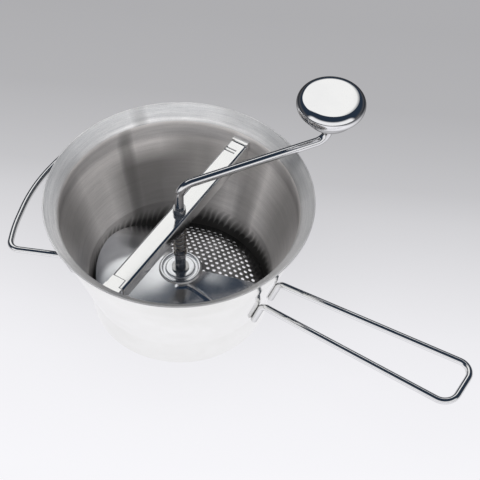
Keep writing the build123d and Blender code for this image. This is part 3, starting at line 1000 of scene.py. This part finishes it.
# ---------------------------------------------------------------- knob
def arc_points(start, through, end, steps=28):
    """Points on the circular arc through three (radius, height) points."""
    a, b, c = Vector(start), Vector(through), Vector(end)
    d = 2 * (a.x * (b.y - c.y) + b.x * (c.y - a.y) + c.x * (a.y - b.y))
    squares = [p.length_squared for p in (a, b, c)]
    centre = Vector((
        (squares[0] * (b.y - c.y) + squares[1] * (c.y - a.y) + squares[2] * (a.y - b.y)) / d,
        (squares[0] * (c.x - b.x) + squares[1] * (a.x - c.x) + squares[2] * (b.x - a.x)) / d,
    ))
    radius = (a - centre).length
    first = math.atan2(a.y - centre.y, a.x - centre.x)
    sweep = math.atan2(c.y - centre.y, c.x - centre.x) - first
    middle = (math.atan2(b.y - centre.y, b.x - centre.x) - first) % (2 * math.pi)
    sweep %= 2 * math.pi
    if middle > sweep:
        sweep -= 2 * math.pi
    points = []
    for step in range(steps + 1):
        turn = first + sweep * step / steps
        points.append((centre.x + radius * math.cos(turn), centre.y + radius * math.sin(turn)))
    return points


knob_radius = (cap_high.x - cap_low.x) / 2
knob_top = cap_high.z
knob_seam = cap_low.z
knob_foot = base_low.z
seam_radius = knob_radius - 2.9 * MM
rim_z = knob_seam + 6.5 * MM
cap_outer = arc_points(
    (seam_radius, knob_seam),
    (knob_radius, rim_z),
    (knob_radius - 5.2 * MM, knob_top - 0.3 * MM),
)
cap_inner = arc_points(
    (knob_radius - 6.4 * MM, knob_top - 0.3 * MM - KNOB_SHEET),
    (knob_radius - KNOB_SHEET, rim_z),
    (seam_radius - KNOB_SHEET, knob_seam),
)
crown = [(knob_radius - 6.6 * MM, knob_top - 0.12 * MM), (knob_radius - 9.0 * MM, knob_top - 0.03 * MM)]
axis_gap = 0.001 * MM
cap_outline = cap_outer + crown + [(axis_gap, knob_top), (axis_gap, knob_top - KNOB_SHEET)] + cap_inner
cap_mesh = lathe("knob_cap_shell", cap_outline, KNOB_STEPS, knob_axis.xy)
cap = new_piece("knob_cap_shell", cap_mesh, "knob", "knob_steel", "knob_cap")
cap.data.materials.append(knob_steel)

foot_outer = arc_points(
    (6.0 * MM, knob_foot),
    (20.6 * MM, knob_foot + 8.8 * MM),
    (knob_radius - 4.4 * MM, knob_seam),
)
foot_inner = arc_points(
    (knob_radius - 4.4 * MM - KNOB_SHEET, knob_seam),
    (19.6 * MM, knob_foot + 10.0 * MM),
    (6.0 * MM, knob_foot + 1.4 * MM),
)
foot_mesh = lathe("knob_base_shell", foot_outer + foot_inner, KNOB_STEPS, knob_axis.xy)
foot = new_piece("knob_base_shell", foot_mesh, "knob", "knob_steel", "knob_base")
foot.data.materials.append(knob_steel)


# ---------------------------------------------------------------- floor, light and camera
def floor_plane(name):
    """Large flat square at the height the bowl stands on."""
    data = bpy.data.meshes.new(name)
    half = FLOOR_HALF
    corners = [(-half, -half, 0), (half, -half, 0), (half, half, 0), (-half, half, 0)]
    data.from_pydata(corners, [], [(0, 1, 2, 3)])
    plane = bpy.data.objects.new(name, data)
    bpy.context.scene.collection.objects.link(plane)
    return plane


def floor_directions(g):
    """Distances across the floor: away from the main view, and to its right."""
    x, y, _ = g.split(g.place)
    return g.turned(y, x, "SUBTRACT"), g.turned(x, y, "ADD")


def tone_ramp(g, value, tones):
    """Colour that follows a list of (value, tone) steps."""
    node = g.tree.nodes.new("ShaderNodeValToRGB")
    first, last = tones[0][0], tones[-1][0]
    g.wire(g.ramp(value, first, last, 0.0, 1.0), node.inputs[0])
    stops = node.color_ramp.elements
    while len(stops) < len(tones):
        stops.new(0.5)
    for stop, (at, tone) in zip(stops, tones):
        stop.position = (at - first) / (last - first)
        stop.color = (tone, tone * 0.995, tone * 1.03, 1)
    return node.outputs[0]


def studio_floor():
    """Pale floor whose light is painted in as glow: bright near the camera, greyer beyond the bowl, with a
    trace of shadow.
    """
    floor = floor_plane("floor")
    g = Finish("floor_painted_glow")
    far, side = floor_directions(g)
    far = g.math("ADD", far, g.math("MULTIPLY", side, FLOOR_SLANT))
    grain = g.noise(g.place, 900.0, 2.0, 0.5)
    g.shader.inputs["Base Color"].default_value = (FLOOR_BASE, FLOOR_BASE, FLOOR_BASE, 1)
    g.shader.inputs["Roughness"].default_value = 0.8
    g.shader.inputs["Specular IOR Level"].default_value = 0.0
    # The floor's light is painted in: its glow fades from near the camera to beyond the bowl.
    g.wire(tone_ramp(g, far, FLOOR_TONES), g.shader.inputs["Emission Color"])
    g.shader.inputs["Emission Strength"].default_value = FLOOR_GLOW
    g.bump(grain, 0.05, 0.0001)
    floor.data.materials.append(g.material)
    floor.visible_glossy = False


def reflection_card():
    """What the steel mirrors below itself: the lit table, fading to a dark room around it."""
    card = floor_plane("reflection_card")
    g = Finish("reflection_card")
    far, side = floor_directions(g)
    edges = g.math("MULTIPLY", g.ramp(side, -0.62, -0.24, 0.07, 1.0), g.ramp(side, 0.36, 0.75, 1.0, 0.12))
    tones = tone_ramp(g, far, CARD_TONES)
    g.shader.inputs["Base Color"].default_value = (0, 0, 0, 1)
    g.shader.inputs["Specular IOR Level"].default_value = 0.0
    faded = g.blend(edges, (0.03, 0.035, 0.045), tones)
    g.wire(faded, g.shader.inputs["Emission Color"])
    g.shader.inputs["Emission Strength"].default_value = 1.0
    card.data.materials.append(g.material)
    card.visible_camera = False
    card.visible_diffuse = False
    card.visible_shadow = False


studio_floor()
reflection_card()

view_turn = Matrix.Rotation(VIEW_AZIMUTH, 3, "Z")
back = view_turn @ Vector((0, -math.cos(VIEW_ELEVATION), math.sin(VIEW_ELEVATION)))
level_right = view_turn @ Vector((1, 0, 0))
level_up = back.cross(level_right)
right = level_right * math.cos(VIEW_ROLL) + level_up * math.sin(VIEW_ROLL)
up = level_up * math.cos(VIEW_ROLL) - level_right * math.sin(VIEW_ROLL)
camera_data = bpy.data.cameras.new("camera")
camera_data.lens = 105.0
camera_data.sensor_width = 36.0
camera = bpy.data.objects.new("camera", camera_data)
bpy.context.scene.collection.objects.link(camera)
rim_centre = Vector((0, 0, BOWL_HEIGHT))
place = rim_centre + back * VIEW_DISTANCE + right * VIEW_SHIFT_RIGHT + up * VIEW_SHIFT_UP
camera.matrix_world = Matrix((
    (right.x, up.x, back.x, place.x),
    (right.y, up.y, back.y, place.y),
    (right.z, up.z, back.z, place.z),
    (0, 0, 0, 1),
))
bpy.context.scene.camera = camera


def overhead_lamp():
    """Large soft lamp that lights the floor but isn't mirrored in the steel."""
    data = bpy.data.lights.new("overhead", "AREA")
    data.shape = "RECTANGLE"
    data.size = 2.4
    data.size_y = 2.4
    data.energy = LAMP_POWER
    lamp = bpy.data.objects.new("overhead", data)
    bpy.context.scene.collection.objects.link(lamp)
    lamp.location = rim_centre + Vector((0.2, -0.5, 2.4))
    lamp.rotation_euler = Vector((0.08, -0.2, 1.0)).to_track_quat("Z", "Y").to_euler()
    lamp.visible_glossy = False


def studio_world():
    """Surroundings by direction: white soft box beyond the bowl, bright near side, dark overhead."""
    world = bpy.data.worlds.new("studio")
    bpy.context.scene.world = world
    world.use_nodes = True
    g = Graph(world.node_tree)
    direction = g.tree.nodes.new("ShaderNodeTexCoord").outputs["Generated"]
    x, y, z = g.split(direction)
    near = g.math("MULTIPLY", g.turned(y, x, "SUBTRACT"), -1.0)
    side = g.turned(x, y, "ADD")
    rise = g.math("ARCSINE", z)

    def band(value, start, full, last, end):
        """1 between full and last, fading to 0 at start and end."""
        return g.math("MULTIPLY", g.ramp(value, start, full, 0.0, 1.0), g.ramp(value, last, end, 1.0, 0.0))

    # The far box reaches higher on its left, where the blade's left part mirrors it.
    leftward = g.ramp(side, -0.07, -0.14, 0.0, 1.0)
    near_top = g.ramp(rise, math.radians(46), math.radians(52), 0.0, 1.0)
    taller = g.math("MULTIPLY", leftward, near_top)
    lowered = g.math("SUBTRACT", rise, g.math("MULTIPLY", taller, math.radians(4.5)))
    far_box = g.math(
        "MULTIPLY",
        band(lowered, math.radians(36), math.radians(39), math.radians(54), math.radians(58)),
        g.math("MULTIPLY", g.ramp(near, -0.25, -0.36, 0.0, 1.0), band(side, -0.62, -0.5, 0.10, 0.22)),
    )
    near_box = g.math(
        "MULTIPLY",
        g.ramp(rise, math.radians(42), math.radians(27), 0.0, 1.0),
        g.ramp(near, 0.26, 0.42, 0.0, 1.0),
    )
    overhead = g.ramp(rise, math.radians(2), math.radians(20), 0.0, 1.0)
    shade = g.blend(overhead, WORLD_SIDES, WORLD_OVERHEAD)
    shade = g.blend(near_box, shade, WORLD_NEAR)
    shade = g.blend(far_box, shade, WORLD_FAR_BOX)
    background = g.tree.nodes["Background"]
    g.wire(shade, background.inputs["Color"])
    background.inputs["Strength"].default_value = 1.0


studio_world()
overhead_lamp()
bpy.context.scene.view_settings.view_transform = "Standard"
